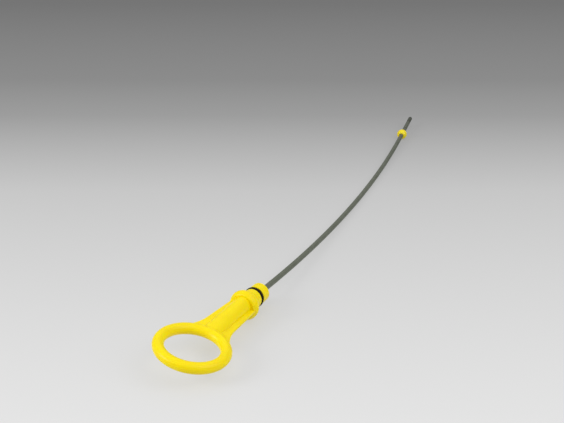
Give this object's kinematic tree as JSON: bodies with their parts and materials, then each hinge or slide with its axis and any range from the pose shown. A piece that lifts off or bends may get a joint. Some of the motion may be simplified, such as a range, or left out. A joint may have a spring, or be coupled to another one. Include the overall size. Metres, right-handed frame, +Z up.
{
  "type": "engine oil dipstick",
  "caption": "Engine oil dipstick: finger-ring handle with a sealing plug, O-ring, long gently bent round stick and a guide bead near its tip.",
  "frame": {"origin": "on the floor, under the middle of the box round the whole dipstick as it lies at rest", "axes": "+X along the length, from the finger ring to the tip, +Y to the left of it, +Z up"},
  "size_m": [0.4388, 0.0394, 0.0181],
  "materials": {
    "yellow_plastic": "glossy moulded yellow plastic",
    "seal_rubber": "satin black rubber",
    "stick_steel": "dull grey-green oxide"
  },
  "bodies": {
    "root": {"handle": "yellow_plastic", "o_ring": "seal_rubber", "stick": "stick_steel", "bead": "yellow_plastic"}
  },
  "joints": []
}
